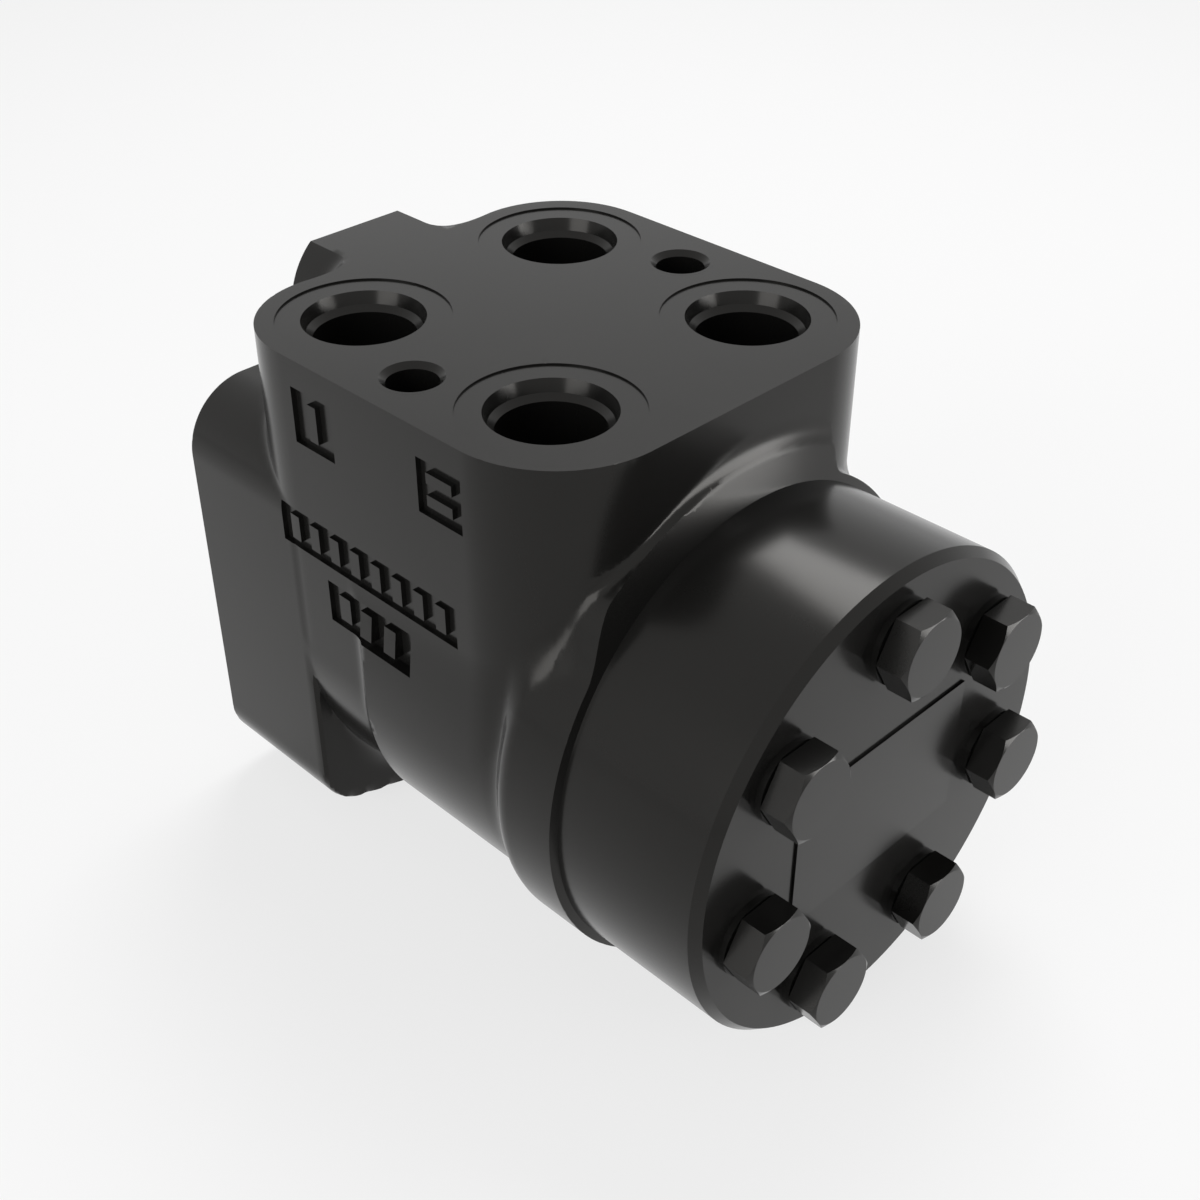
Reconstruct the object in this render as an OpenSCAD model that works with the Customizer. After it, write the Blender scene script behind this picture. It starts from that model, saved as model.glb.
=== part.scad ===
/* [View] */
// Part to show, or all
// Facets of a large round
$fn = 64; // [32:8:128]
// Facets of a small hole
small_facets = 32; // [16:4:64]

/* [Mounting flange] */
// Half of the width of the flange block, also its height above the axis
flange_half = 40; // [38:0.5:44]
// Lowest point of the bulged underside below the axis
flange_drop = 44.3; // [42:0.1:48]
// Thickness of the flange block along the axis
flange_depth = 30; // [26:0.5:34]
// Upper corner radius
upper_corner = 12.5; // [8:0.5:15]
// Lower corner radius
lower_corner = 6.6; // [4:0.2:9]
// Radius of the bulged underside
underside_radius = 110.4; // [90:0.2:140]
// Fillet between the back of the flange and the round body
back_fillet = 5; // [2:0.5:8]
// Pitch circle of the four column screws
column_pcd = 82.5; // [78:0.5:90]
// Core radius of a tapped M10 hole
m10_radius = 4.25; // [4:0.05:5]
// Depth of a tapped M10 hole
m10_depth = 16; // [12:0.5:20]
// Mouth radius of a tapped M10 hole
m10_mouth = 5.2; // [5:0.1:6]

/* [Port block] */
// Height of the port face above the axis
port_height = 59.3; // [55:0.1:64]
// Distance from the flange face to the first port pair
port_first = 30.6; // [28:0.1:34]
// Distance from the flange face to the second port pair
port_second = 75; // [70:0.1:80]
// Sideways offset of the ports
port_offset = 22.2; // [20:0.1:25]
// Radius of the lobes around the first port pair
lobe_radius = 17.75; // [16:0.05:20]
// Step from the end wall of the block to the rear face
end_step = 2.7; // [1:0.1:5]
// Corner radius at the end wall
end_corner = 19.5; // [15:0.5:22]
// Radius of the rib top that joins flange and block
rib_radius = 15.45; // [13:0.05:18]
// Height of the centre of the rib top
rib_height = 47.5; // [45:0.1:50]
// Fillet between the rib and the lobes
rib_fillet = 8; // [5:0.5:10]
// Fillet between the rib and the flange shoulders
rib_foot = 6; // [3:0.5:8]
// Spot face radius
spot_radius = 14.53; // [13:0.01:16]
// Spot face depth
spot_depth = 0.3; // [0.1:0.1:1]
// Port mouth radius
mouth_radius = 10.3; // [9.8:0.05:11]
// Depth of the straight port mouth
mouth_depth = 2.6; // [2:0.1:4]
// Depth of the cone under the port mouth
mouth_cone = 0.55; // [0.2:0.05:2]
// Core radius of the port thread
port_radius = 8.25; // [8:0.05:9]
// Full depth of the port thread
port_depth = 17; // [14:0.5:20]
// Sideways offset of the two block screws
block_screw_offset = 30.2; // [28:0.1:33]
// Distance from the flange face to the two block screws
block_screw_place = 52.6; // [50:0.1:56]
// Depth of the sunk pads in the near wall
pad_depth = 0.9; // [0.4:0.1:1.5]

/* [Body and collar] */
// Radius of the round body
body_radius = 40; // [38:0.1:42]
// Radius of the rear collar
collar_radius = 44.5; // [43:0.1:47]
// Radius of the crease where the collar meets the block
crease_radius = 48.9; // [46:0.1:52]
// Fillet between the crease and the end wall
crease_fillet = 2.25; // [1:0.05:4]
// Length of the straight collar
collar_length = 10.3; // [8:0.1:13]
// Length of the bent shoulder before the collar
shoulder_length = 8.2; // [6:0.1:10]
// Rear face of the housing
rear_face = 96.9; // [95:0.1:99]
// Radius of the main bore
bore_radius = 19.02; // [18.5:0.01:20]
// Inner shoulder for the thrust bearing
bore_start = 12; // [10:0.5:14]
// First ring groove in the bore
groove_first = 49.5; // [47:0.5:52]
// Width of a ring groove
groove_width = 5; // [4:0.5:6]
// Depth of a ring groove
groove_depth = 1.98; // [1:0.02:3]
// Radius of the shaft seal pocket
seal_pocket = 18; // [17.6:0.1:19]
// Radius of the dust seal pocket
dust_pocket = 17.5; // [17:0.1:18.5]

/* [Gear set] */
// Radius of plate, gear ring and cover
set_radius = 43.1; // [42:0.1:45]
// Thickness of the distribution plate
plate_thickness = 5; // [4:0.5:7]
// Thickness of the gear ring
ring_thickness = 13; // [6:0.5:20]
// Thickness of the end cover
cover_thickness = 10.8; // [9:0.1:14]
// Width of the name plate across the cover
name_width = 41.3; // [30:0.1:44]
// Height of the name plate
name_height = 26; // [20:0.5:30]
// Thickness of the name plate
name_thickness = 0.4; // [0.3:0.05:0.8]
// Sideways shift of the name plate
name_shift = 0.55; // [0:0.05:2]
// Chamfer of the cover along the axis
cover_chamfer = 1.7; // [0.5:0.1:3]
// Chamfer of the cover across the axis
cover_bevel = 1.33; // [0.5:0.01:3]
// Distance between the rotor and ring centres
eccentricity = 3; // [2:0.1:4]
// Lobe centres outside the screw circle
lobe_offset = 1.4; // [0.5:0.1:2.5]
// Radius of a ring lobe
ring_lobe = 9; // [8:0.1:10]
// Gap between rotor and ring lobe
mesh_gap = 0.07; // [0.04:0.01:0.15]
// Points along one rotor tooth
tooth_points = 30; // [20:2:40]
// Bore of the distribution plate
plate_bore = 12; // [11:0.5:14]
// Radius of the bore in the rotor
rotor_bore = 8.75; // [8:0.05:9]
// Length of the spacer in the bore of the rotor
spacer_length = 3.65; // [3:0.05:5]

/* [Cover screws] */
// Radius of the screw circle
screw_circle = 31.6; // [30:0.1:34]
// Width across the flats of a head
head_flats = 13; // [12:0.5:14]
// Height of a head
head_height = 5.3; // [5:0.1:6]
// Screw radius
screw_radius = 3.98; // [3.9:0.01:4]
// Screw length under the head
screw_length = 45; // [40:1:55]
// Clearance of a screw in a plain hole
screw_clearance = 0.42; // [0.2:0.01:0.6]
// Washer radius
washer_radius = 7; // [6.5:0.1:8]
// Washer thickness
washer_thickness = 1; // [0.8:0.1:2]
// Place of the special screw in the circle
pin_place = 6; // [0:1:6]
// Depth of the check ball seat below the rear face
seat_depth = 29.4; // [27:0.1:32]
// Depth of the valve bush hole below the rear face
bush_depth = 17.9; // [16:0.1:20]
// Length of the valve bush
bush_length = 13; // [11:0.1:15]
// Length of the rolled pin
rolled_length = 11.9; // [10:0.1:14]
// Radius of the check ball
ball_radius = 4; // [3:0.1:4.2]

/* [Spool set] */
// Spool radius
spool_radius = 13.98; // [13:0.01:15]
// Bore radius behind the spring slot
spool_bore = 10; // [9.5:0.1:11]
// Clearance between spool and sleeve
spool_clearance = 0.02; // [0.01:0.01:0.05]
// Clearance between sleeve and housing
sleeve_clearance = 0.03; // [0.01:0.01:0.05]
// Distance from the flange face to the cross pin
pin_place_x = 48; // [44:0.5:52]
// Cross pin radius
pin_radius = 3.25; // [3:0.05:4]
// Radius of a bearing needle
needle_radius = 0.985; // [0.8:0.005:1]
// Start of the centring springs
spring_start = 27; // [25:0.5:30]
// Width of the centring springs along the axis
spring_width = 8; // [6:0.5:9]
// Thickness of one spring leaf
leaf_thickness = 0.5; // [0.3:0.05:0.6]
// Radius that the bent leaves are bowed to
leaf_bow = 58; // [45:1:80]
// Largest turn between spool and sleeve
spool_turn = 8; // [5:1:10]
// Teeth of the splines
spline_teeth = 12; // [8:1:16]
// Depth of the spline socket in the spool
socket_depth = 23; // [20:0.5:25]

/* [Hidden] */
iron = [0.13, 0.13, 0.14];
steel = [0.62, 0.63, 0.65];
dark_steel = [0.2, 0.2, 0.21];
seal_black = [0.05, 0.05, 0.05];
// Small overlap of a fillet with the faces that it joins
seam = 0.02;
// Stations along the axis
plate_end = rear_face + plate_thickness;
ring_end = plate_end + ring_thickness;
cover_end = ring_end + cover_thickness;
head_start = cover_end + washer_thickness;
screw_tip = head_start - screw_length;
block_end = rear_face - end_step;
collar_start = rear_face - collar_length;
shoulder_start = collar_start - shoulder_length;
sleeve_start = bore_start + 4.5;
spring_end = spring_start + spring_width;
groove_step = (rear_face - 15.4 - groove_first) / 2;
function groove(i) = groove_first + i * groove_step;
function groove_middle(i) = groove(i) + groove_width / 2;
// Flange block, with corners that touch the bulged underside
underside_centre = underside_radius - flange_drop;
inner_radius = underside_radius - lower_corner + seam;
corner_side = flange_half - lower_corner;
corner_height = underside_centre - sqrt(inner_radius * inner_radius - corner_side * corner_side);
// Rib, with fillets that touch its round top and the lobes
foot_height = flange_half + rib_foot;
foot_side = sqrt(pow(rib_radius + rib_foot, 2) - pow(foot_height - rib_height, 2));
foot_top = rib_height + (foot_height - rib_height) * rib_radius / (rib_radius + rib_foot);
rib_half = sqrt(pow(rib_radius, 2) - pow(port_height - rib_height, 2));
fillet_side = rib_half + rib_fillet;
fillet_reach = sqrt(pow(lobe_radius + rib_fillet, 2) - pow(port_offset - fillet_side, 2));
fillet_touch = port_offset - (port_offset - fillet_side) * lobe_radius / (lobe_radius + rib_fillet);
// Block walls flush with the lobes
wall = port_offset + lobe_radius;
end_inner = block_end - end_corner;
corner_offset = wall - end_corner;
// Two equal arcs of the shoulder, one hollow and one bulged
shoulder_rise = max(collar_radius - body_radius, 0.2);
shoulder_arc = (shoulder_length * shoulder_length + shoulder_rise * shoulder_rise) / (4 * shoulder_rise);
shoulder_middle = (shoulder_start + collar_start) / 2;
// Screws and seals
screw_step = 360 / 7;
plain_hole = screw_radius + screw_clearance;
tapped_hole = screw_radius + 0.02;
bush_radius = screw_radius + 1.52;
bush_end = rear_face - bush_depth + bush_length + 3;
seat_radius = ball_radius - 1.5;
rolled_start = rear_face - bush_depth - 3;
seal_middle = (screw_circle + plain_hole + set_radius) / 2;
seal_half = 1.1;
seal_depth = 1.6;
// Rotor and its ring
teeth = 6;
lobe_circle = screw_circle + lobe_offset;
feed_circle = lobe_circle - 7.5;
// Spool, sleeve and cardan shaft
sleeve_inner = spool_radius + spool_clearance;
sleeve_outer = bore_radius - sleeve_clearance;
sleeve_neck = bore_radius - 1.92;
race_outer = bore_radius - 0.12;
race_inner = spool_radius + 0.22;
race_thickness = 1.2;
leaf_half = sleeve_neck - 0.5;
pin_play = spool_radius * sin(spool_turn) + 0.1;
slot_half = 4.05;
spool_slot = slot_half + leaf_half * sin(spool_turn) + 0.04;
shaft_radius = spool_bore - 3.5;
eye_radius = spool_bore - 1.2;
// Middle and half length of the cardan head in the rotor
head_middle = plate_end + (ring_thickness - 3) / 2;
head_half = max(ring_thickness - 5.8, 1) / 2;
// Lean of the cardan shaft
lean = atan(eccentricity / (head_middle - pin_place_x));
// Angle of a screw around the axis, counted from +Y
function screw_angle(i) = 90 - i * screw_step;
// Curve that a lobe centre draws in the frame of the rotor
function trace(t) = [
  lobe_circle * cos(t) - eccentricity * cos((teeth + 1) * t),
  lobe_circle * sin(t) - eccentricity * sin((teeth + 1) * t)];
function slope(t) = [
  -lobe_circle * sin(t) + (teeth + 1) * eccentricity * sin((teeth + 1) * t),
  lobe_circle * cos(t) - (teeth + 1) * eccentricity * cos((teeth + 1) * t)];
// Rotor outline, one lobe radius inside the curve, with closer points in its hollows
function rotor_point(u) = let(t = u - 6 * sin(teeth * u), p = trace(t), s = slope(t), n = norm(s))
  [p[0] - ring_lobe * s[1] / n, p[1] + ring_lobe * s[0] / n];

// Cylinder along the axis from one place to another
module rod(from, to, r, f = $fn) {
  translate([from, 0, 0])
    rotate([0, 90, 0])
      cylinder(h = to - from, r = r, $fn = f);
}

// Cone along the axis
module taper(from, to, r1, r2, f = $fn) {
  translate([from, 0, 0])
    rotate([0, 90, 0])
      cylinder(h = to - from, r1 = r1, r2 = r2, $fn = f);
}

// Flat ring around the axis
module collar_ring(from, to, outer, inner) {
  difference() {
    rod(from, to, outer);
    rod(from - 1, to + 1, inner);
  }
}

// Flat outline in Y and Z, drawn out along the axis
module along(from, to) {
  translate([from, 0, 0])
    rotate([90, 0, 90])
      linear_extrude(height = to - from)
        children();
}

// Outline turned around the axis, drawn with the radius to the right and the axis upwards
module turned() {
  rotate([0, 90, 0])
    rotate_extrude($fn = $fn)
      children();
}

// Copies at the seven screw places
module at_screw(i) {
  translate([0, screw_circle * cos(screw_angle(i)), screw_circle * sin(screw_angle(i))])
    children();
}

// Straight drilling between two points
module drilling(a, b, r) {
  d = b - a;
  translate(a)
    rotate([0, acos(d[2] / norm(d)), atan2(d[1], d[0])])
      cylinder(h = norm(d), r = r, $fn = small_facets);
}

// Face of the flange block without the rib
module flange_outline() {
  side = flange_half;
  shoulder = side - upper_corner;
  touch = corner_side * underside_radius / inner_radius;
  translate([-side, corner_height])
    square([2 * side, shoulder - corner_height]);
  translate([-shoulder, shoulder - 1])
    square([2 * shoulder, upper_corner + 1]);
  for (s = [-1, 1]) {
    translate([s * shoulder, shoulder])
      circle(r = upper_corner);
    translate([s * corner_side, corner_height])
      circle(r = lower_corner);
  }
  intersection() {
    translate([0, underside_centre])
      circle(r = underside_radius, $fn = 160);
    translate([-touch, -flange_drop - 1])
      square([2 * touch, flange_drop + 1 + corner_height + 1]);
  }
}

// Rib between the flange block and the port block
module rib_outline() {
  intersection() {
    translate([0, rib_height])
      circle(r = rib_radius);
    translate([-rib_radius - 1, flange_half - 10])
      square([2 * rib_radius + 2, port_height - flange_half + 10]);
  }
  difference() {
    translate([-foot_side, flange_half - 2])
      square([2 * foot_side, foot_top - flange_half + 2]);
    for (s = [-1, 1])
      translate([s * foot_side, foot_height])
        circle(r = rib_foot);
  }
}

// Plan of the port block, with a wall that may stand proud of the end and sides
module block_outline(proud = 0) {
  translate([port_first, -wall - proud])
    square([end_inner - port_first, 2 * (wall + proud)]);
  translate([end_inner - 1, -corner_offset])
    square([end_corner + proud + 1, 2 * corner_offset]);
  for (s = [-1, 1])
    translate([end_inner, s * corner_offset])
      circle(r = end_corner + proud);
}

// Plan of the two lobes and of the rib that runs in between them
module lobe_outline() {
  start = port_first - fillet_reach;
  for (s = [-1, 1])
    translate([port_first, s * port_offset])
      circle(r = lobe_radius);
  difference() {
    translate([start, -fillet_touch])
      square([fillet_reach + 1, 2 * fillet_touch]);
    for (s = [-1, 1])
      translate([start, s * fillet_side])
        circle(r = rib_fillet + seam);
  }
}

// Half outline of the round body, the bent shoulder and the collar
module body_profile() {
  core = body_radius - 10;
  translate([core, flange_depth - 5])
    square([10, rear_face - flange_depth + 5]);
  difference() {
    translate([core, shoulder_start])
      square([10 + shoulder_rise / 2, shoulder_length / 2]);
    translate([body_radius + shoulder_arc - seam, shoulder_start])
      circle(r = shoulder_arc);
  }
  intersection() {
    translate([collar_radius - shoulder_arc + seam, collar_start])
      circle(r = shoulder_arc);
    translate([body_radius - 1, shoulder_middle - 1])
      square([shoulder_rise + 2, shoulder_length / 2 + 2]);
  }
  translate([core, collar_start])
    square([10 + shoulder_rise, collar_length]);
}

// Hollow fillet between the back of the flange and the lower half of the body
module back_blend() {
  reach = back_fillet - seam;
  intersection() {
    turned()
      difference() {
        translate([body_radius - 3, flange_depth - 1])
          square([3 + reach, 1 + reach]);
        translate([body_radius + reach, flange_depth + reach])
          circle(r = back_fillet);
      }
    along(flange_depth - 2, flange_depth + reach + 1)
      intersection() {
        flange_outline();
        translate([-flange_half - 1, -flange_drop - 1])
          square([2 * flange_half + 2, flange_drop - 1]);
      }
  }
}

// Sloping shoulder and hollow fillet between the collar and the end wall of the block
module collar_skirt() {
  crease = rear_face - 1.25;
  outer = crease_radius + crease_fillet - 0.15;
  intersection() {
    turned() {
      polygon([[collar_radius - 8, block_end - 4], [crease_radius, block_end - 4], [crease_radius, crease],
        [collar_radius - 0.1, rear_face - seam], [collar_radius - 8, rear_face - seam]]);
      difference() {
        translate([crease_radius - 1, block_end - 3])
          square([outer - crease_radius + 1, crease - block_end + 3]);
        translate([outer, block_end - seam + crease_fillet])
          circle(r = crease_fillet);
      }
    }
    translate([0, 0, 12])
      linear_extrude(height = port_height - 13)
        block_outline(end_step - 1.25);
  }
}

// Sunk pads for casting marks on the near wall
module wall_pads() {
  pads = [[33.8, 44.2, 10, 10], [64.5, 44.4, 10, 10], [26.6, 22.2, 45, 7.8], [38.2, 11.2, 22, 8]];
  for (p = pads)
    translate([p[0], -wall - 1, p[1]])
      cube([p[2], 1 + pad_depth, p[3]]);
}

// Bore of one port, from the port face down
module port(x, y) {
  translate([x, y, port_height - spot_depth])
    cylinder(h = 2, r = spot_radius);
  translate([x, y, port_height - mouth_depth])
    cylinder(h = mouth_depth + 1, r = mouth_radius);
  translate([x, y, port_height - mouth_depth - mouth_cone])
    cylinder(h = mouth_cone + 0.01, r1 = port_radius, r2 = mouth_radius);
  translate([x, y, port_height - port_depth])
    cylinder(h = port_depth, r = port_radius);
  translate([x, y, port_height - port_depth - 2.4])
    cylinder(h = 2.41, r1 = port_radius / 2, r2 = port_radius);
}

// Tapped M10 hole from a face at height zero down
module m10_hole() {
  translate([0, 0, -m10_depth])
    cylinder(h = m10_depth + 1, r = m10_radius, $fn = small_facets);
  translate([0, 0, -m10_depth - 2])
    cylinder(h = 2.01, r1 = 0.6, r2 = m10_radius, $fn = small_facets);
  translate([0, 0, m10_radius - m10_mouth])
    cylinder(h = m10_mouth - m10_radius + 0.5, r1 = m10_radius, r2 = m10_mouth + 0.5, $fn = small_facets);
}

// Everything that is bored along the axis
module main_bore() {
  rod(bore_start, rear_face + 1, bore_radius);
  rod(-1, bore_start + 0.1, spool_radius + 0.32);
  rod(-1, 4, dust_pocket);
  rod(6, 9.6, seal_pocket);
  for (i = [0:2])
    rod(groove(i), groove(i) + groove_width, bore_radius + groove_depth);
}

// Oil drillings from the ports and the rear face to the bore
module drillings() {
  top = port_height - port_depth - 1;
  inner = bore_radius - 2;
  drilling([port_first, -port_offset, top], [port_first + 0.5, -inner / 2, inner], 4);
  drilling([port_first, port_offset, top], [groove_middle(0), inner / 2, inner], 4);
  drilling([port_second, port_offset, top], [groove_middle(1), inner / 2, inner], 4);
  drilling([port_second, -port_offset, top], [groove_middle(2), -inner / 2, inner], 4);
  for (i = [0:6]) {
    a = screw_angle(i + 0.5);
    r = feed_circle + 0.4;
    s = bore_radius - 1;
    drilling([rear_face + 0.5, r * cos(a), r * sin(a)], [rear_face - 8.3, s * cos(a), s * sin(a)], 2.2);
  }
}

// Hole of the check valve behind the special screw
module valve_hole() {
  at_screw(pin_place) {
    rod(rear_face - bush_depth, rear_face + 1, bush_radius, small_facets);
    rod(rear_face - seat_depth, rear_face - bush_depth + 0.1, ball_radius + 0.3, small_facets);
    rod(flange_depth, rear_face - seat_depth + 0.1, seat_radius, small_facets);
  }
  y = screw_circle * cos(screw_angle(pin_place)) + 1;
  z = screw_circle * sin(screw_angle(pin_place));
  for (x = [port_first + 0.4, port_second - 1])
    translate([x, y, z])
      cylinder(h = port_height - port_depth - z, r = 2, $fn = small_facets);
}

module housing() {
  color(iron)
    difference() {
      union() {
        along(0, flange_depth)
          flange_outline();
        along(0, port_first - 10)
          rib_outline();
        linear_extrude(height = port_height) {
          block_outline();
          lobe_outline();
        }
        turned()
          body_profile();
        rod(flange_depth - 5, rear_face, body_radius - 9);
        back_blend();
        collar_skirt();
      }
      main_bore();
      for (x = [port_first, port_second], s = [-1, 1])
        port(x, s * port_offset);
      for (s = [-1, 1])
        translate([block_screw_place, s * block_screw_offset, port_height])
          m10_hole();
      for (a = [45:90:315])
        translate([0, column_pcd / 2 * cos(a), column_pcd / 2 * sin(a)])
          rotate([0, -90, 0])
            m10_hole();
      for (i = [0:6])
        if (i != pin_place)
          at_screw(i)
            rod(screw_tip - 3, rear_face + 1, tapped_hole, small_facets);
      valve_hole();
      drillings();
      seal_groove(rear_face);
      wall_pads();
    }
}

// Groove of a face seal, cut back from a joint face
module seal_groove(x) {
  collar_ring(x - seal_depth, x + 1, seal_middle + seal_half + 0.1, seal_middle - seal_half - 0.1);
}

module spool() {
  back = rear_face - 0.4;
  color(steel)
    difference() {
      rod(1.5, back, spool_radius);
      rod(1, socket_depth, 8, 48);
      for (i = [0:spline_teeth - 1])
        rotate([i * 360 / spline_teeth, 0, 0])
          translate([1, -1.25, 7])
            cube([socket_depth - 2, 2.5, 2.3]);
      rod(socket_depth - 1, pin_place_x - 8, 3, small_facets);
      rod(pin_place_x - 9, back + 1, spool_bore, 48);
      taper(1.4, 2.9, 9.8, 8.3, 48);
      translate([spring_start - 0.5, -20, -spool_slot])
        cube([spring_width + 1, 40, 2 * spool_slot]);
      for (s = [-1, 1])
        translate([pin_place_x, 20, s * pin_play])
          rotate([90, 0, 0])
            cylinder(h = 40, r = pin_radius + 0.1, $fn = small_facets);
      translate([pin_place_x - pin_radius - 0.1, -20, -pin_play])
        cube([2 * pin_radius + 0.2, 40, 2 * pin_play]);
      for (i = [0:5])
        rotate([i * 60 + 30, 0, 0])
          translate([groove(1) + 1, spool_radius - 1.58, -1.2])
            cube([groove_step, 4, 2.4]);
      collar_ring(groove(0) + 7.5, groove(0) + 10.5, spool_radius + 1, spool_radius - 0.88);
    }
}

module sleeve() {
  color(steel)
    difference() {
      union() {
        rod(sleeve_start, spring_end + 1, sleeve_neck - 0.02);
        rod(spring_end + 1, rear_face - 0.05, sleeve_outer);
      }
      rod(sleeve_start - 1, rear_face + 1, sleeve_inner);
      translate([spring_start - 0.5, -20, -slot_half])
        cube([spring_width + 1, 40, 2 * slot_half]);
      translate([pin_place_x, 20, 0])
        rotate([90, 0, 0])
          cylinder(h = 40, r = pin_radius, $fn = small_facets);
      for (i = [0:1]) {
        x = groove(i) + groove_step / 2 - 1;
        collar_ring(x, x + 3, sleeve_outer + 1, sleeve_outer - 1.09);
      }
      for (k = [0:2], i = [0:5])
        rotate([i * 60 + (k == 1 ? 30 : 0), 0, 0])
          translate([groove_middle(k), 0, sleeve_inner - 2])
            cylinder(h = 8, r = 1.5, $fn = 16);
      for (i = [0:5])
        rotate([i * 60 + 15, 0, 0])
          translate([rear_face - 6.4, 0, sleeve_inner - 2])
            cylinder(h = 8, r = 1.2, $fn = 16);
    }
}

module cross_pin() {
  half = sleeve_outer - 0.39;
  color(steel)
    translate([pin_place_x, half, 0])
      rotate([90, 0, 0])
        cylinder(h = 2 * half, r = pin_radius, $fn = small_facets);
}

// One bowed leaf, as the part of a ring between two radii
module bowed_leaf(inner, from, to) {
  translate([spring_start, 0, 0])
    rotate([90, 0, 90])
      linear_extrude(height = spring_width)
        intersection() {
          difference() {
            translate([0, from + inner])
              circle(r = inner, $fn = 240);
            translate([0, from + inner])
              circle(r = inner - leaf_thickness, $fn = 240);
          }
          translate([-leaf_half, to - 8])
            square([2 * leaf_half, 8]);
        }
}

module centering_springs() {
  step = leaf_thickness + 0.02;
  color(dark_steel) {
    for (s = [-1, 1])
      translate([spring_start, -leaf_half, s * (step / 2 + 0.01) - leaf_thickness / 2])
        cube([spring_width, 2 * leaf_half, leaf_thickness]);
    for (m = [0, 1])
      mirror([0, 0, m]) {
        bowed_leaf(leaf_bow, step + 0.02, 5.5);
        bowed_leaf(leaf_bow - step, 2 * step + 0.02, 5.5);
      }
  }
}

module spring_ring() {
  color(dark_steel)
    collar_ring(spring_start - 1.5, spring_end + 1, race_outer, sleeve_neck + 0.02);
}

module inner_race() {
  color(steel)
    collar_ring(sleeve_start - 1.3, sleeve_start, race_outer - 0.3, race_inner);
}

module outer_race() {
  color(steel)
    collar_ring(bore_start, bore_start + race_thickness, race_outer, race_inner);
}

// One needle, lying towards +Z
module needle() {
  translate([bore_start + race_thickness + needle_radius, 0, race_inner + 0.5])
    cylinder(h = race_outer - race_inner - 1.3, r = needle_radius, $fn = 16);
}

module needle_cage() {
  color(dark_steel)
    difference() {
      collar_ring(bore_start + 1.5, bore_start + 2.9, race_outer - 0.2, race_inner);
      for (i = [0:15])
        rotate([i * 22.5, 0, 0])
          translate([bore_start + 1, -1.02, race_inner + 0.4])
            cube([3, 2.04, race_outer - race_inner - 1.1]);
    }
}

module needles() {
  color(steel)
    for (i = [0:15])
      rotate([i * 22.5, 0, 0])
        needle();
}

module shaft_seal() {
  color(seal_black)
    difference() {
      collar_ring(6, 9.6, seal_pocket, spool_radius + 0.04);
      collar_ring(5, 7, seal_pocket - 0.8, spool_radius + 1.02);
    }
}

module dust_seal() {
  color(seal_black)
    difference() {
      collar_ring(0.4, 4, dust_pocket, spool_radius + 0.04);
      taper(0.3, 2, dust_pocket - 0.7, spool_radius + 0.62);
    }
}

// Cardan shaft before it leans, with the pin at the origin
module straight_cardan() {
  length = head_middle - pin_place_x;
  difference() {
    union() {
      rod(-6, 8, eye_radius, 48);
      taper(7.99, 11, eye_radius, shaft_radius, 48);
      rod(10, length - head_half - 1.4, shaft_radius, 48);
      taper(length - head_half - 2.9, length - head_half - 0.1, shaft_radius, 8.3, 48);
      rod(length - head_half - 0.11, length + head_half, 8.3, 48);
      for (i = [0:spline_teeth - 1])
        rotate([i * 360 / spline_teeth, 0, 0])
          translate([length - head_half, -1.1, 6])
            cube([2 * head_half, 2.2, 3.25]);
    }
    translate([-7, -10, -pin_radius - 0.1])
      cube([11.4, 20, 2 * pin_radius + 0.2]);
  }
}

module cardan_shaft() {
  color(steel)
    translate([pin_place_x, 0, 0])
      rotate([0, -lean, 0])
        straight_cardan();
}

module spacer() {
  color(steel)
    translate([0, 0, eccentricity])
      rod(ring_end - 0.05 - spacer_length, ring_end - 0.05, rotor_bore - 0.07, 48);
}

module distribution_plate() {
  color(iron)
    difference() {
      rod(rear_face, plate_end, set_radius);
      rod(rear_face - 1, plate_end + 1, plate_bore);
      for (i = [0:6]) {
        at_screw(i)
          rod(rear_face - 1, plate_end + 1, plain_hole, small_facets);
        rotate([screw_angle(i + 0.5), 0, 0])
          translate([0, feed_circle, 0])
            rod(rear_face - 1, plate_end + 1, 2.4, small_facets);
      }
      seal_groove(plate_end);
    }
}

module gear_ring() {
  color(iron)
    difference() {
      rod(plate_end, ring_end, set_radius);
      along(plate_end - 1, ring_end + 1)
        difference() {
          circle(r = lobe_circle - ring_lobe + 2 * eccentricity + 0.1);
          for (i = [0:6])
            rotate([0, 0, screw_angle(i)])
              translate([lobe_circle, 0])
                circle(r = ring_lobe - mesh_gap);
        }
      for (i = [0:6])
        at_screw(i)
          rod(plate_end - 1, ring_end + 1, plain_hole, small_facets);
      seal_groove(ring_end);
    }
}

module rotor() {
  count = teeth * tooth_points;
  color(steel)
    translate([0, 0, eccentricity])
      difference() {
        along(plate_end + 0.03, ring_end - 0.03)
          rotate([0, 0, 90])
            polygon([for (i = [0:count - 1]) rotor_point(i * 360 / count)]);
        rod(plate_end - 1, ring_end + 1, rotor_bore, 48);
        for (i = [0:spline_teeth - 1])
          rotate([i * 360 / spline_teeth, 0, 0])
            translate([plate_end - 1, -1.45, 7])
              cube([ring_thickness + 2, 2.9, 2.85]);
      }
}

module end_cover() {
  color(iron)
    difference() {
      union() {
        rod(ring_end, cover_end - cover_chamfer, set_radius);
        taper(cover_end - cover_chamfer, cover_end, set_radius, set_radius - cover_bevel);
      }
      for (i = [0:6])
        at_screw(i)
          rod(ring_end - 1, cover_end + 1, plain_hole, small_facets);
    }
}

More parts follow.
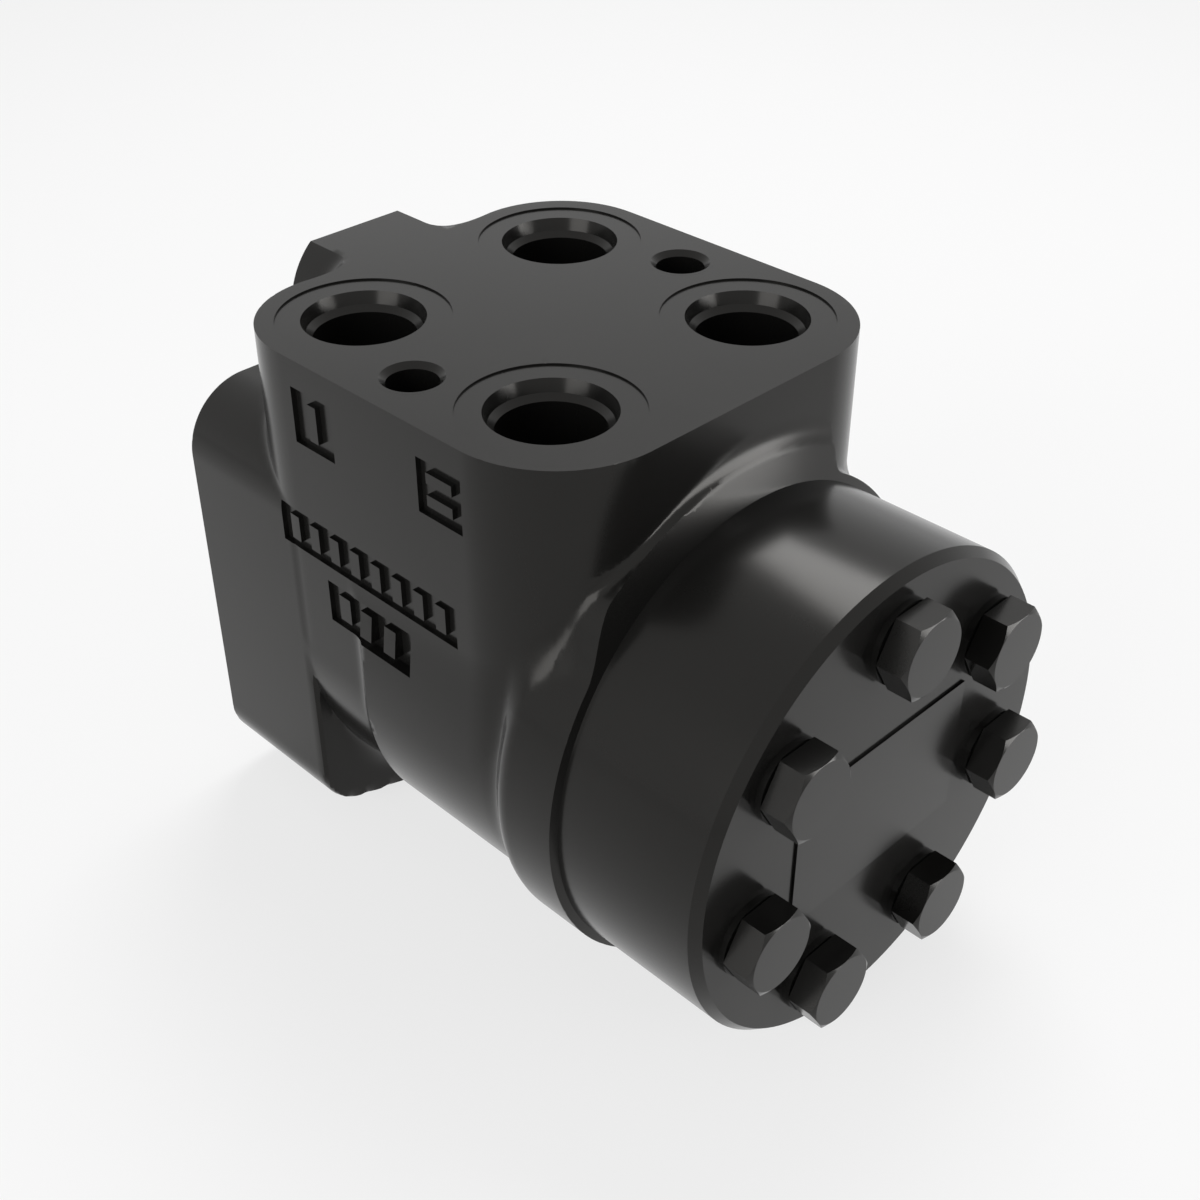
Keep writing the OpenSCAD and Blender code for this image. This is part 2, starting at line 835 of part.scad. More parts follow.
// Face seal with broken corners, seated at the bottom of its groove
module face_seal(x) {
  broken = 0.4;
  translate([x, 0, 0])
    turned()
      translate([seal_middle, 0])
        polygon([[-seal_half, broken], [broken - seal_half, 0], [seal_half - broken, 0], [seal_half, broken],
          [seal_half, seal_depth - broken], [seal_half - broken, seal_depth],
          [broken - seal_half, seal_depth], [-seal_half, seal_depth - broken]]);
}

module face_o_rings() {
  color(seal_black)
    for (x = [rear_face, plate_end, ring_end])
      face_seal(x - seal_depth);
}

// Hexagon head with a washer face and a rounded-off top
module screw_head() {
  top = head_start + head_height;
  corner = head_flats / sqrt(3);
  rod(head_start, head_start + 0.35, head_flats / 2 - 0.8, small_facets);
  intersection() {
    along(head_start + 0.3, top)
      circle(r = corner, $fn = 6);
    union() {
      rod(head_start, top - 0.65, corner + 1.5, 48);
      taper(top - 0.65, top, corner + 0.1, head_flats / 2 - 0.05, 48);
    }
  }
}

module cover_screws() {
  color(iron)
    for (i = [0:6])
      if (i != pin_place)
        at_screw(i) {
          screw_head();
          rod(screw_tip + 0.8, head_start + 0.1, screw_radius, small_facets);
          taper(screw_tip, screw_tip + 0.81, screw_radius - 0.78, screw_radius, small_facets);
        }
}

module pin_screw() {
  color(iron)
    at_screw(pin_place)
      difference() {
        union() {
          screw_head();
          rod(bush_end - bush_length, head_start + 0.1, screw_radius, small_facets);
        }
        rod(bush_end - bush_length - 1, rolled_start + rolled_length + 0.1, screw_radius / 2, small_facets);
      }
}

module rolled_pin() {
  outer = screw_radius / 2;
  color(steel)
    at_screw(pin_place)
      difference() {
        rod(rolled_start, rolled_start + rolled_length, outer, small_facets);
        rod(rolled_start - 1, rolled_start + rolled_length + 1, outer - 0.8, small_facets);
        translate([rolled_start - 1, -0.3, -outer - 1])
          cube([rolled_length + 2, 0.6, outer + 1]);
      }
}

module washers() {
  color(dark_steel)
    for (i = [0:6])
      at_screw(i)
        difference() {
          rod(cover_end, head_start, washer_radius, 40);
          rod(cover_end - 1, head_start + 1, screw_radius + 0.22, small_facets);
        }
}

module check_ball() {
  color(steel)
    at_screw(pin_place)
      translate([rear_face - seat_depth + sqrt(pow(ball_radius, 2) - pow(seat_radius, 2)), 0, 0])
        sphere(r = ball_radius, $fn = 40);
}

module valve_bush() {
  color(dark_steel)
    at_screw(pin_place)
      difference() {
        rod(bush_end - bush_length, bush_end, bush_radius, small_facets);
        rod(bush_end - bush_length - 1, bush_end + 1, tapped_hole, small_facets);
      }
}

module name_plate() {
  color(dark_steel)
    translate([cover_end, -name_width / 2 - name_shift, -name_height / 2])
      cube([name_thickness, name_width, name_height]);
}

housing();
spool();
sleeve();
cross_pin();
centering_springs();
spring_ring();
inner_race();
needle_cage();
needles();
outer_race();
shaft_seal();
dust_seal();
cardan_shaft();
spacer();
distribution_plate();
gear_ring();
rotor();
end_cover();
face_o_rings();
cover_screws();
pin_screw();
rolled_pin();
washers();
check_ball();
valve_bush();
name_plate();
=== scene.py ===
import math

import bpy
import numpy as np
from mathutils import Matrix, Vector


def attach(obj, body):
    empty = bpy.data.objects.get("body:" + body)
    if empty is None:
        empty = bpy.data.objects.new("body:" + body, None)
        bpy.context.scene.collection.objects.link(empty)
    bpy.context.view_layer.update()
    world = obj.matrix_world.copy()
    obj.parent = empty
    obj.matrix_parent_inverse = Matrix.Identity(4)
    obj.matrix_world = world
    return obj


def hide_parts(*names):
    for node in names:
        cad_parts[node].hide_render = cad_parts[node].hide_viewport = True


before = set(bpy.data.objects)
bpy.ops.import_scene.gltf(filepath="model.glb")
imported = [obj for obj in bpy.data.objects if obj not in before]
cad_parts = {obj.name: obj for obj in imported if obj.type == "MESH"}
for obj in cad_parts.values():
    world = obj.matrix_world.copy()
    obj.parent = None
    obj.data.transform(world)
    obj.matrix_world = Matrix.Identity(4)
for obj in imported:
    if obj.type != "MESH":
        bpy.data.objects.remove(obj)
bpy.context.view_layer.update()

mm = 0.001
body = "housing_body"


def say(text):
    print("steering valve:", text)


# shader maths
class Wire:
    def __init__(self, tree, socket):
        self.tree = tree
        self.socket = socket

    def kind(self):
        return {"RGBA": "colour", "VECTOR": "vector"}.get(self.socket.type, "value")

    def combine(self, operation, other, swapped=False):
        kinds = {self.kind()}
        if isinstance(other, Wire):
            kinds.add(other.kind())
        elif isinstance(other, (tuple, list, Vector)):
            kinds.add("vector")
        first, second = (other, self) if swapped else (self, other)
        if "colour" in kinds:
            return mixColours(self.tree, operation, 1.0, asColour(first), asColour(second))
        if "vector" in kinds:
            return self.tree.make("ShaderNodeVectorMath", {"operation": operation},
                                  {0: asVector(first), 1: asVector(second)})
        return self.tree.make("ShaderNodeMath", {"operation": operation}, {0: first, 1: second})

    def __add__(self, other):
        return self.combine("ADD", other)

    def __radd__(self, other):
        return self.combine("ADD", other, True)

    def __sub__(self, other):
        return self.combine("SUBTRACT", other)

    def __mul__(self, other):
        return self.combine("MULTIPLY", other)


def asColour(item):
    return (item, item, item, 1) if isinstance(item, (int, float)) else item


def asVector(item):
    return (item, item, item) if isinstance(item, (int, float)) else item


def mixColours(tree, blend, factor, first, second):
    return tree.make("ShaderNodeMix", {"data_type": "RGBA", "blend_type": blend},
                     {0: factor, 6: first, 7: second}, out=2)


class Tree:
    def __init__(self, owner):
        owner.use_nodes = True
        self.nodes = owner.node_tree.nodes
        self.links = owner.node_tree.links
        self.nodes.clear()

    def make(self, nodeType, settings=None, inputs=None, out=0):
        node = self.nodes.new(nodeType)
        for key, setting in (settings or {}).items():
            setattr(node, key, setting)
        for key, item in (inputs or {}).items():
            target = node.inputs[key]
            if isinstance(item, Wire):
                self.links.new(item.socket, target)
            else:
                target.default_value = item
        if not node.outputs:
            return node
        return Wire(self, node.outputs[out])


def noise(tree, where, scale, detail=3.0, roughness=0.55):
    return tree.make("ShaderNodeTexNoise", {"noise_dimensions": "3D"},
                     {"Vector": where, "Scale": scale, "Detail": detail, "Roughness": roughness})


# mesh helpers
def addPiece(name, verts, faces, node, material, smoothAngle=35, rideOn=body):
    # points in millimetres
    mesh = bpy.data.meshes.new(name)
    mesh.from_pydata([tuple(c * mm for c in vert) for vert in verts], [], faces)
    mesh.validate()
    mesh.update()
    return finishPiece(name, mesh, node, material, smoothAngle, rideOn)


def finishPiece(name, mesh, node, material, smoothAngle=35, rideOn=body):
    piece = bpy.data.objects.new(name, mesh)
    bpy.context.scene.collection.objects.link(piece)
    mesh.materials.append(material)
    mesh.polygons.foreach_set("use_smooth", [True] * len(mesh.polygons))
    mesh.set_sharp_from_angle(angle=math.radians(smoothAngle))
    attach(piece, rideOn)
    if node:
        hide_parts(node)
    return piece


# Shapes below are distances in millimetres, negative inside the metal
def roundJoin(a, b, r):
    return np.maximum(r, np.minimum(a, b)) - np.hypot(np.maximum(r - a, 0), np.maximum(r - b, 0))


def roundMeet(a, b, r):
    return np.minimum(-r, np.maximum(a, b)) + np.hypot(np.maximum(r + a, 0), np.maximum(r + b, 0))


def ramped(value, low, high):
    t = np.clip((value - low) / (high - low), 0, 1)
    return t * t * (3 - 2 * t)


casting = {
    "flangeHalf": 40.0, "flangeBack": 30.0, "upperCorner": 12.5, "lowerCorner": 6.6,
    "undersideRadius": 110.4, "undersideCentre": 66.1,
    "portFace": 59.3, "portFirst": 30.6, "portSecond": 75.0, "portSide": 22.2,
    "lobe": 17.75, "blockEnd": 94.2, "blockCorner": 19.5,
    "ribRadius": 15.45, "ribHeight": 47.5, "flangeEdge": 1.2, "ribBack": 26.0, "bodyStart": 20.0,
    "bodyRadius": 40.0, "collarRadius": 44.5, "collarStart": 50.0, "shoulderStart": 78.4,
    "shoulderEnd": 86.6, "shoulderSlope": 0.55, "rearFace": 96.9, "stepRadius": 43.1,
    "stepCone": (0.962, 0.273), "underPlate": 0.9,
    "pads": [(33.8, 43.9, 44.2, 54.25), (64.5, 74.5, 44.6, 54.2),
             (26.7, 71.7, 22.3, 30.0), (38.2, 60.2, 11.0, 19.2)],
    "padDepth": 0.95,
}
fillets = {"rib": 8.0, "front": 3.2, "frontMore": 2.8, "frontReach": 14.0, "fadeRun": 8.0,
           "under": 5.0, "underFrom": 14.0, "underTo": 34.0,
           "collar": 1.2, "collarMore": [(2.3, 94.0, 88.0), (2.5, 84.0, 78.0)]}
boss = {"radius": 48.6, "start": 83.0, "lowEdge": 20.0, "farSide": 21.2, "nearFillet": 1.4,
        "moreFillet": 3.0, "moreFrom": -21.0, "moreTo": 0.0, "fade": 7.0, "fadeFrom": 30.0, "fadeTo": 39.0}
ports = {"places": [(x, y) for x in (casting["portFirst"], casting["portSecond"])
                    for y in (-casting["portSide"], casting["portSide"])], "depth": 17.0,
         "profile": [(14.56, 0.3), (10.33, 0.3), (9.62, 2.45), (8.6, 3.45), (8.6, 17.0), (4.0, 19.4),
                     (4.0, 21.0)]}
portPocket = [(14.53, 0.9), (10.9, 18.0)]
tapped = {"blockPlaces": [(52.6, -30.2), (52.6, 30.2)], "columnPcd": 82.5,
          "profile": [(5.9, -0.004), (5.2, -0.004), (4.25, 0.95), (4.25, 16.0), (0.05, 18.4)]}
tappedPocket = [(5.4, 19.0)]
boreSteps = [(19.03, 12.0, 200.0), (14.3, -9.0, 12.5), (17.5, -9.0, 4.0), (18.0, 6.0, 9.6),
             (21.0, 49.5, 54.5), (21.0, 65.5, 70.5), (21.0, 81.5, 86.5)]
screws = {"angles": [math.radians(90 - k * 360 / 7) for k in range(7)], "circle": 31.6, "special": 6,
          "steps": [(4.02, 78.7)], "specialSteps": [(5.52, 79.0), (4.3, 67.5)]}
channels = {"radius": 4.0, "runs": [((30.6, -22.2), (31.1, -8.5, 17)), ((30.6, 22.2), (52, 8.5, 17)),
                                    ((75, 22.2), (68, 8.5, 17)), ((75, -22.2), (84, -8.5, 17))]}
sealGroove = {"radius": 39.7, "half": 1.2, "depth": 1.6}


farAway = 99.0  # distance in a shape that has no part yet


def castShape(x, y, z):
    c, f = casting, fillets
    ay = np.abs(y)
    radial = np.hypot(y, z)
    flange = roundMeet(ay - c["flangeHalf"], z - c["flangeHalf"], c["upperCorner"])
    flange = roundMeet(flange, np.hypot(y, z - c["undersideCentre"]) - c["undersideRadius"], c["lowerCorner"])
    flange = roundMeet(flange, x - c["flangeBack"], c["flangeEdge"])
    rib = np.maximum(np.hypot(y, z - c["ribHeight"]) - c["ribRadius"], x - c["ribBack"])
    lobes = np.hypot(x - c["portFirst"], ay - c["portSide"]) - c["lobe"]
    plan = roundMeet(ay - c["flangeHalf"], x - c["blockEnd"], c["blockCorner"])
    plan = np.minimum(lobes, np.maximum(plan, c["portFirst"] - x))
    block = roundJoin(rib, np.maximum(plan, -z), f["rib"])
    nearSide = np.clip((c["flangeHalf"] - ay) / f["fadeRun"], 0, 1)
    width = f["front"] + f["frontMore"] * np.clip((f["frontReach"] - x) / f["fadeRun"], 0, 1)
    front = roundJoin(flange, block, width * nearSide)
    tube = np.maximum(radial - c["bodyRadius"], c["bodyStart"] - x)
    front = roundJoin(front, tube, f["under"] * ramped(-z, f["underFrom"], f["underTo"]))
    # the collar climbs out of the body in two equal arcs
    rise, length = c["collarRadius"] - c["bodyRadius"], c["shoulderEnd"] - c["shoulderStart"]
    arc = (rise * rise + length * length) / (4 * rise)
    run = np.clip(x - c["shoulderStart"], 0, length)
    early = arc - np.sqrt(arc * arc - np.minimum(run, length / 2) ** 2)
    late = rise - arc + np.sqrt(arc * arc - (length - np.maximum(run, length / 2)) ** 2)
    height = np.where(run < length / 2, early, late)
    slope = np.sin(np.pi * run / length) * c["shoulderSlope"]
    collar = (radial - c["bodyRadius"] - height) / np.sqrt(1 + slope * slope)
    collar = np.maximum(collar, c["collarStart"] - x)
    # low boss over the collar on the end wall, its fillet widest on the far side and 1.15 high
    width = boss["nearFillet"] + boss["moreFillet"] * ramped(y, boss["moreFrom"], boss["moreTo"])
    fillet = (width * width + 1.3) / 2.3
    edge = boss["radius"] - boss["fade"] * ramped(-y, boss["fadeFrom"], boss["fadeTo"]) - fillet + width
    raised = roundJoin(front, np.maximum(radial - edge, boss["start"] - x), fillet)
    raised = np.minimum(front, np.maximum(raised, np.maximum(boss["lowEdge"] - z, y - boss["farSide"])))
    blend = f["collar"]
    for more, start, end in f["collarMore"]:
        blend = blend + more * ramped(-x, -start, -end)
    # boss and collar end on one shallow cone
    along, outward = c["stepCone"]
    cone = (x - c["rearFace"]) * along + (radial - c["stepRadius"]) * outward
    return np.minimum(front, np.maximum(roundJoin(raised, collar, blend), cone))


def pocket(radial, depth, steps):
    # room in the casting for one turned lining, a little wider than the lining below its top step
    shape = np.full_like(radial, farAway)
    for reach, bottom in steps:
        shape = np.minimum(shape, np.maximum(radial - reach, depth - bottom))
    return shape


def drilling(x, y, z, start, end, radius):
    start, end = np.array(start), np.array(end)
    length = float(np.linalg.norm(end - start))
    way = (end - start) / length
    rel = (x - start[0], y - start[1], z - start[2])
    along = sum(r * w for r, w in zip(rel, way))
    square = sum(r * r for r in rel) - along * along
    return np.maximum(np.sqrt(np.maximum(square, 0)) - radius, np.abs(along - length / 2) - length / 2)


def machinedShape(x, y, z):
    c = casting
    metal = castShape(x, y, z)
    metal = np.maximum(metal, np.maximum(x - c["rearFace"] - c["underPlate"], -x))
    metal = np.maximum(metal, z - c["portFace"])
    for low, high, bottom, top in c["pads"]:
        pad = np.maximum(np.maximum(low - x, x - high), np.maximum(bottom - z, z - top))
        pad = np.maximum(pad, y + c["flangeHalf"] - c["padDepth"])
        metal = np.maximum(metal, -np.maximum(pad, -barShape(x, z)))
    radial = np.hypot(y, z)
    hole = np.full_like(x, farAway)
    for reach, low, high in boreSteps:
        hole = np.minimum(hole, np.maximum(radial - reach, np.maximum(low - x, x - high)))
    for px, py in ports["places"]:
        hole = np.minimum(hole, pocket(np.hypot(x - px, y - py), c["portFace"] - z, portPocket))
    sx, sy = tapped["blockPlaces"][1]
    hole = np.minimum(hole, pocket(np.hypot(x - sx, np.abs(y) - sy), c["portFace"] - z, tappedPocket))
    side = tapped["columnPcd"] / 2 * math.sqrt(0.5)
    hole = np.minimum(hole, pocket(np.hypot(np.abs(y) - side, np.abs(z) - side), x, tappedPocket))
    for k, angle in enumerate(screws["angles"]):
        around = np.hypot(y - screws["circle"] * math.cos(angle), z - screws["circle"] * math.sin(angle))
        for reach, start in screws["specialSteps"] if k == screws["special"] else screws["steps"]:
            hole = np.minimum(hole, np.maximum(around - reach, start - x))
    top = c["portFace"] - ports["depth"] - 1
    for place, end in channels["runs"]:
        hole = np.minimum(hole, drilling(x, y, z, (*place, top), end, channels["radius"]))
    ring = np.maximum(np.abs(radial - sealGroove["radius"]) - sealGroove["half"],
                      c["rearFace"] - sealGroove["depth"] - x)
    hole = np.minimum(hole, ring)
    return np.maximum(metal, -hole)


def barShape(x, z):
    # plain raised bars that stand in the sunk pads
    bars = [(37.8, 39.9, 45.9, 52.5), (66.6, 72.4, 46.5, 48.4), (66.6, 72.4, 50.4, 52.3)]
    bars += [(29.2 + i * 5.35, 31.6 + i * 5.35, 23.7, 28.6) for i in range(8)]
    bars += [(41.0 + i * 6.2, 43.9 + i * 6.2, 12.6, 17.6) for i in range(3)]
    shape = np.full_like(x, farAway)
    for low, high, bottom, top in bars:
        shape = np.minimum(shape, np.maximum(np.maximum(low - x, x - high), np.maximum(bottom - z, z - top)))
    return shape


def spaced(*runs):
    # grid lines: (start, end, step) runs laid end to end
    lines = []
    for start, end, step in runs:
        count = max(1, round((end - start) / step))
        lines.extend(np.linspace(start, end, count, endpoint=False))
    return np.array(lines + [runs[-1][1]])


def meshOf(shape, xs, ys, zs, stiff=0.02):
    # dual contouring: one vertex in each crossed cell, at the meeting point of the surfaces in it
    lines = (xs, ys, zs)
    grid = np.meshgrid(*lines, indexing="ij")
    values = shape(*grid)
    inside = values < 0
    cells = tuple(len(a) - 1 for a in lines)
    total = cells[0] * cells[1] * cells[2]
    sums = np.zeros((13, total))
    strips = []
    for axis in range(3):
        low = [slice(None)] * 3
        high = [slice(None)] * 3
        low[axis], high[axis] = slice(0, -1), slice(1, None)
        low, high = tuple(low), tuple(high)
        at = np.argwhere(inside[low] != inside[high])
        if not len(at):
            continue
        step = np.zeros(3, int)
        step[axis] = 1
        to = at + step
        a = np.stack([lines[i][at[:, i]] for i in range(3)], 1)
        b = np.stack([lines[i][to[:, i]] for i in range(3)], 1)
        va = values[tuple(at.T)]
        begins = va < 0
        lo, hi = np.zeros(len(at)), np.ones(len(at))
        for _ in range(14):
            mid = (lo + hi) / 2
            p = a + (b - a) * mid[:, None]
            same = (shape(p[:, 0], p[:, 1], p[:, 2]) < 0) == begins
            lo, hi = np.where(same, mid, lo), np.where(same, hi, mid)
        p = a + (b - a) * ((lo + hi) / 2)[:, None]
        eps = 0.01
        normal = np.stack([shape(*(p + eps * e).T) - shape(*(p - eps * e).T) for e in np.eye(3)], 1)
        normal /= np.maximum(np.linalg.norm(normal, axis=1), 1e-9)[:, None]
        others = [i for i in range(3) if i != axis]
        ids = []
        for da, db in ((0, 0), (1, 0), (1, 1), (0, 1)):
            cell = at.copy()
            cell[:, others[0]] -= da
            cell[:, others[1]] -= db
            fits = np.all((cell >= 0) & (cell < np.array(cells)), axis=1)
            flat = np.where(fits, (cell[:, 0] * cells[1] + cell[:, 1]) * cells[2] + cell[:, 2], -1)
            ids.append(flat)
            use = flat >= 0
            f, n, q = flat[use], normal[use], p[use]
            d = (n * q).sum(1)
            rows = [n[:, 0] * n[:, 0], n[:, 0] * n[:, 1], n[:, 0] * n[:, 2], n[:, 1] * n[:, 1],
                    n[:, 1] * n[:, 2], n[:, 2] * n[:, 2], n[:, 0] * d, n[:, 1] * d, n[:, 2] * d,
                    q[:, 0], q[:, 1], q[:, 2], np.ones(len(f))]
            for k, row in enumerate(rows):
                sums[k] += np.bincount(f, row, total)
        quad = np.stack(ids, 1)
        flip = begins if axis != 1 else ~begins
        quad[flip] = quad[flip][:, ::-1]
        strips.append(quad[np.all(quad >= 0, axis=1)])
    used = np.flatnonzero(sums[12] > 0)
    s = sums[:, used]
    middle = (s[9:12] / s[12]).T
    m = np.empty((len(used), 3, 3))
    m[:, 0, 0], m[:, 0, 1], m[:, 0, 2] = s[0], s[1], s[2]
    m[:, 1, 0], m[:, 1, 1], m[:, 1, 2] = s[1], s[3], s[4]
    m[:, 2, 0], m[:, 2, 1], m[:, 2, 2] = s[2], s[4], s[5]
    right = s[6:9].T - np.einsum("nij,nj->ni", m, middle)
    point = middle + np.linalg.solve(m + stiff * np.eye(3), right[:, :, None])[:, :, 0]
    index = np.stack(np.unravel_index(used, cells), 1)
    for i in range(3):
        low, high = lines[i][index[:, i]], lines[i][index[:, i] + 1]
        point[:, i] = np.clip(point[:, i], low, high)
    number = np.full(total, -1)
    number[used] = np.arange(len(used))
    return point, number[np.concatenate(strips)]


gridSteps = {
    "x": [(-1.1, 11.0, 1.1), (11.0, 50.0, 0.95), (50.0, 55.4, 0.9), (55.4, 93.0, 0.95), (93.0, 98.0, 0.4)],
    "y": [(-46.3, -41.35, 1.2), (-41.35, -37.75, 0.9), (-37.75, 37.85, 0.96), (37.85, 46.5, 1.3)],
    "z": [(-46.2, 9.0, 1.35), (9.0, 54.9, 0.95), (54.9, 60.0, 0.85)],
}


def buildCasting(material):
    points, quads = meshOf(machinedShape, *(spaced(*gridSteps[axis]) for axis in "xyz"))
    say(f"casting of {len(quads)} faces")
    mesh = bpy.data.meshes.new("castHousing")
    mesh.from_pydata((points * mm).tolist(), [], quads.tolist())
    mesh.validate()
    mesh.update()
    return finishPiece("castHousing", mesh, "housing", material, 33)


def turned(name, profile, places, frameOf, material, segments=64):
    # one open turned skin at each place; the profile is (radius, depth below the face) pairs
    verts, faces = [], []
    for place in places:
        start = len(verts)
        for radius, depth in profile:
            for k in range(segments):
                angle = 2 * math.pi * k / segments
                verts.append(frameOf(place, radius * math.cos(angle), radius * math.sin(angle), depth))
        for ring in range(len(profile) - 1):
            for k in range(segments):
                a, b = start + ring * segments + k, start + ring * segments + (k + 1) % segments
                faces.append((a, b, b + segments, a + segments))
    piece = addPiece(name, verts, faces, None, material, 12)
    return piece


def onTop(place, u, v, depth):
    return place[0] + u, place[1] + v, casting["portFace"] - depth


def onFlange(place, u, v, depth):
    return depth, place[0] - u, place[1] + v


def buildLinings(material):
    side = tapped["columnPcd"] / 2 * math.sqrt(0.5)
    corners = [(a, b) for a in (-side, side) for b in (-side, side)]
    turned("portLinings", ports["profile"], ports["places"], onTop, material, 96)
    turned("blockHoleLinings", tapped["profile"], tapped["blockPlaces"], onTop, material)
    turned("columnHoleLinings", tapped["profile"], corners, onFlange, material)


# materials
def makeFinish(name, settings):
    material = bpy.data.materials.new(name)
    tree = Tree(material)
    where = tree.make("ShaderNodeTexCoord", out=3)
    broad = noise(tree, where, settings["broadScale"], 2.0)
    fine = noise(tree, where, settings["fineScale"], 4.0, 0.6)
    base = settings["colour"]
    dark = tuple(c * (1 - settings["colourSpread"]) for c in base) + (1,)
    light = tuple(c * (1 + settings["colourSpread"]) for c in base) + (1,)
    colour = mixColours(tree, "MIX", broad * 0.6 + fine * 0.4, dark, light)
    spread = settings["roughSpread"]
    rough = settings["roughness"] + (fine - 0.5) * spread + (broad - 0.5) * spread
    bump = tree.make("ShaderNodeBump", None, {"Strength": settings["bump"], "Distance": settings["depth"],
                                              "Height": fine})
    shader = tree.make("ShaderNodeBsdfPrincipled", None,
                       {"Base Color": colour, "Roughness": rough, "Normal": bump,
                        "Metallic": settings.get("metallic", 0.0), "Specular IOR Level": settings["specular"],
                        "Specular Tint": settings.get("tint", (1, 1, 1)) + (1,)})
    tree.make("ShaderNodeOutputMaterial", None, {"Surface": shader})
    return material


finishes = {
    "paint": {"colour": (0.0072, 0.007, 0.0066), "colourSpread": 0.12, "broadScale": 60.0,
              "fineScale": 1900.0, "roughness": 0.2, "roughSpread": 0.04, "bump": 0.015, "depth": 0.0001,
              "specular": 0.22, "tint": (1.0, 0.975, 0.935)},
    "screwPaint": {"colour": (0.0076, 0.0074, 0.007), "colourSpread": 0.1, "broadScale": 120.0,
                   "fineScale": 2600.0, "roughness": 0.2, "roughSpread": 0.04, "bump": 0.015, "depth": 0.0001,
                   "specular": 0.26, "tint": (1.0, 0.98, 0.945)},
    "steel": {"colour": (0.55, 0.56, 0.58), "colourSpread": 0.06, "broadScale": 90.0, "fineScale": 3000.0,
              "roughness": 0.3, "roughSpread": 0.12, "bump": 0.04, "depth": 0.0001, "specular": 0.5,
              "metallic": 1.0},
    "spring": {"colour": (0.16, 0.165, 0.18), "colourSpread": 0.12, "broadScale": 90.0, "fineScale": 2600.0,
               "roughness": 0.38, "roughSpread": 0.12, "bump": 0.04, "depth": 0.0001, "specular": 0.5,
               "metallic": 1.0},
    "rubber": {"colour": (0.012, 0.012, 0.0125), "colourSpread": 0.2, "broadScale": 200.0,
               "fineScale": 2400.0, "roughness": 0.6, "roughSpread": 0.12, "bump": 0.12, "depth": 0.0002,
               "specular": 0.35},
}
nodeFinish = {
    "paint": ["housing", "distribution_plate", "gear_ring", "end_cover"],
    "screwPaint": ["cover_screws", "pin_screw", "washers", "name_plate"],
    "steel": ["spool", "sleeve", "cross_pin", "inner_race", "outer_race", "needles", "cardan_shaft", "spacer",
              "rotor", "check_ball", "rolled_pin"],
    "spring": ["centering_springs", "spring_ring", "needle_cage", "valve_bush"],
    "rubber": ["shaft_seal", "dust_seal", "face_o_rings"],
}
say("materials")
skins = {name: makeFinish(name, settings) for name, settings in finishes.items()}
for name, nodes in nodeFinish.items():
    for node in nodes:
        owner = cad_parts[node]
        for place in range(max(1, len(owner.material_slots))):
            if not owner.material_slots:
                owner.data.materials.append(skins[name])
            owner.material_slots[place].material = skins[name]

say("casting")
housing = buildCasting(skins["paint"])
buildLinings(skins["paint"])

# camera, room and lamps
view = {"place": (0.23414, -0.17111, 0.17859), "tilt": 54.7356, "turn": 45.0, "lens": 50.0, "sensor": 36.0}
say("camera and room")
camera = bpy.data.objects.new("camera", bpy.data.cameras.new("camera"))
bpy.context.scene.collection.objects.link(camera)
camera.location = view["place"]
camera.rotation_euler = (math.radians(view["tilt"]), 0, math.radians(view["turn"]))
camera.data.lens = view["lens"]
camera.data.sensor_width = view["sensor"]
bpy.context.scene.camera = camera
bpy.context.scene.view_settings.view_transform = "Standard"

room = {"worldLight": 0.35, "floorSize": 6.0, "floorHeight": -0.04455, "floorColour": 0.8, "floorWhite": 0.72}


def seenRays(tree):
    # one for what the camera, a mirror or a glass sees, zero for light that falls on the object
    path = tree.make("ShaderNodeLightPath")
    others = [Wire(tree, path.socket.node.outputs[name]) for name in ("Is Glossy Ray", "Is Transmission Ray")]
    for other in others:
        path = tree.make("ShaderNodeMath", {"operation": "MAXIMUM"}, {0: path, 1: other})
    return path


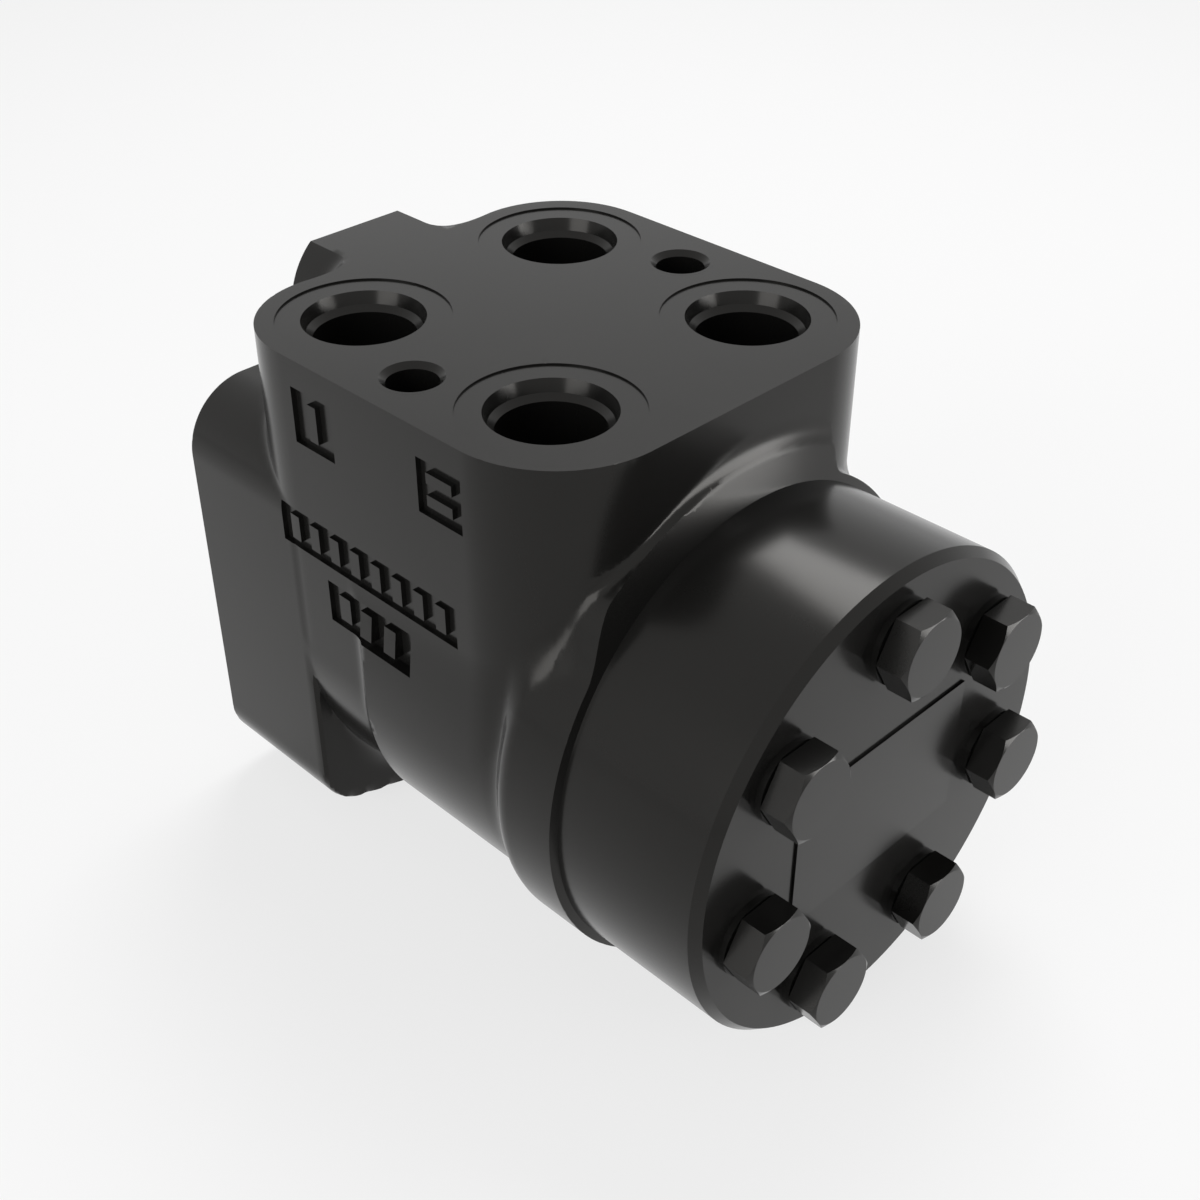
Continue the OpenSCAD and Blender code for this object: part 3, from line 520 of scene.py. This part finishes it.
def whiteRoom(name):
    world = bpy.data.worlds.new(name)
    bpy.context.scene.world = world
    tree = Tree(world)
    strength = seenRays(tree) * (1 - room["worldLight"]) + room["worldLight"]
    background = tree.make("ShaderNodeBackground", None, {"Color": (1, 1, 1, 1), "Strength": strength})
    tree.make("ShaderNodeOutputWorld", None, {"Surface": background})


def buildFloor(name):
    half, height = room["floorSize"] / 2, room["floorHeight"]
    line = np.linspace(-half, half, 9)
    verts = [(x, y, height) for y in line for x in line]
    faces = [(i + 9 * j, i + 1 + 9 * j, i + 10 + 9 * j, i + 9 + 9 * j) for j in range(8) for i in range(8)]
    mesh = bpy.data.meshes.new(name)
    mesh.from_pydata(verts, [], faces)
    material = bpy.data.materials.new(name)
    tree = Tree(material)
    shade = room["floorColour"]
    plain = tree.make("ShaderNodeBsdfDiffuse", None, {"Color": (shade, shade, shade, 1)})
    white = tree.make("ShaderNodeEmission", None, {"Color": (1, 1, 1, 1), "Strength": 1.0})
    share = seenRays(tree) * room["floorWhite"]
    surface = tree.make("ShaderNodeMixShader", None, {0: share, 1: plain, 2: white})
    tree.make("ShaderNodeOutputMaterial", None, {"Surface": surface})
    mesh.materials.append(material)
    floor = bpy.data.objects.new(name, mesh)
    bpy.context.scene.collection.objects.link(floor)
    return floor


whiteRoom("studio")
floor = buildFloor("floor")

lamps = [
    {"name": "keyLamp", "place": (0.55, 0.30, -0.02), "size": 0.35, "power": 3.0},
    {"name": "topLamp", "place": (-0.15, 0.35, 0.7), "size": 0.4, "power": 4.0},
    {"name": "sideLamp", "place": (0.1, -0.7, 0.25), "size": 0.5, "power": 3.0},
]
middle = Vector((0.065, 0.0, 0.005))
for lamp in lamps:
    light = bpy.data.lights.new(lamp["name"], "AREA")
    light.size = lamp["size"]
    light.energy = lamp["power"]
    holder = bpy.data.objects.new(lamp["name"], light)
    bpy.context.scene.collection.objects.link(holder)
    holder.location = lamp["place"]
    holder.rotation_euler = (middle - holder.location).to_track_quat("-Z", "Y").to_euler()

say("sizes")
